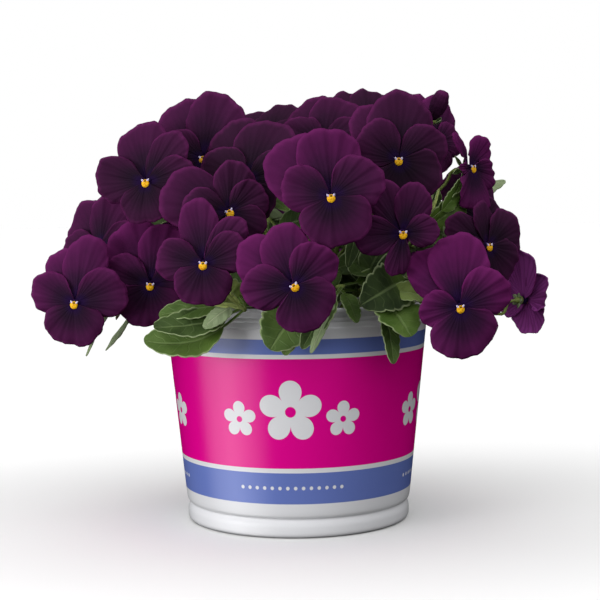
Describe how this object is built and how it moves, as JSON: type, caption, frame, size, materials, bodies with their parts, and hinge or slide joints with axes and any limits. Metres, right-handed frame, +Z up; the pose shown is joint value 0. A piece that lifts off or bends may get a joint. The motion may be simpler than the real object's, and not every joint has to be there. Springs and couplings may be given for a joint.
{
  "type": "potted pansy planter",
  "caption": "Bushy pansies in bloom, rooted in a tapered round nursery pot with a printed band, a rolled rim and drain holes.",
  "frame": {"origin": "on the pot's axis, at the underside of its base, where it stands on the ground", "axes": "+Z up, -Y towards the viewer of the picture, +X to the viewer's right"},
  "size_m": [0.3107, 0.2652, 0.2745],
  "materials": {
    "tub": "white moulded plastic under a glossy printed label, with a pink band between two blue ones",
    "growing_mix": null,
    "foliage": null,
    "petals": null
  },
  "bodies": {
    "root": {"tub": "tub", "growing_mix": "growing_mix", "leafy_stem_01": "foliage", "leafy_stem_02": "foliage", "leafy_stem_03": "foliage", "leafy_stem_04": "foliage", "leafy_stem_05": "foliage", "leafy_stem_06": "foliage", "leafy_stem_07": "foliage", "leafy_stem_08": "foliage", "leafy_stem_09": "foliage", "leafy_stem_10": "foliage", "leafy_stem_11": "foliage", "leafy_stem_12": "foliage", "leafy_stem_13": "foliage", "leafy_stem_14": "foliage", "leafy_stem_15": "foliage", "leafy_stem_16": "foliage", "bloom_01": "petals", "bloom_02": "petals", "bloom_03": "petals", "bloom_04": "petals", "bloom_05": "petals", "bloom_06": "petals", "bloom_07": "petals", "bloom_08": "petals", "bloom_09": "petals", "bloom_10": "petals", "bloom_11": "petals", "bloom_12": "petals", "bloom_13": "petals", "bloom_14": "petals", "bloom_15": "petals", "bloom_16": "petals", "bloom_17": "petals", "bloom_18": "petals", "bloom_19": "petals", "bloom_20": "petals", "bloom_21": "petals", "bloom_22": "petals", "bloom_23": "petals", "bloom_24": "petals", "bloom_25": "petals", "bloom_26": "petals", "bloom_27": "petals", "bloom_28": "petals", "bloom_29": "petals", "bloom_30": "petals", "bloom_31": "petals", "bloom_32": "petals", "bloom_33": "petals", "bud_01": "petals", "bud_02": "petals"}
  },
  "joints": []
}
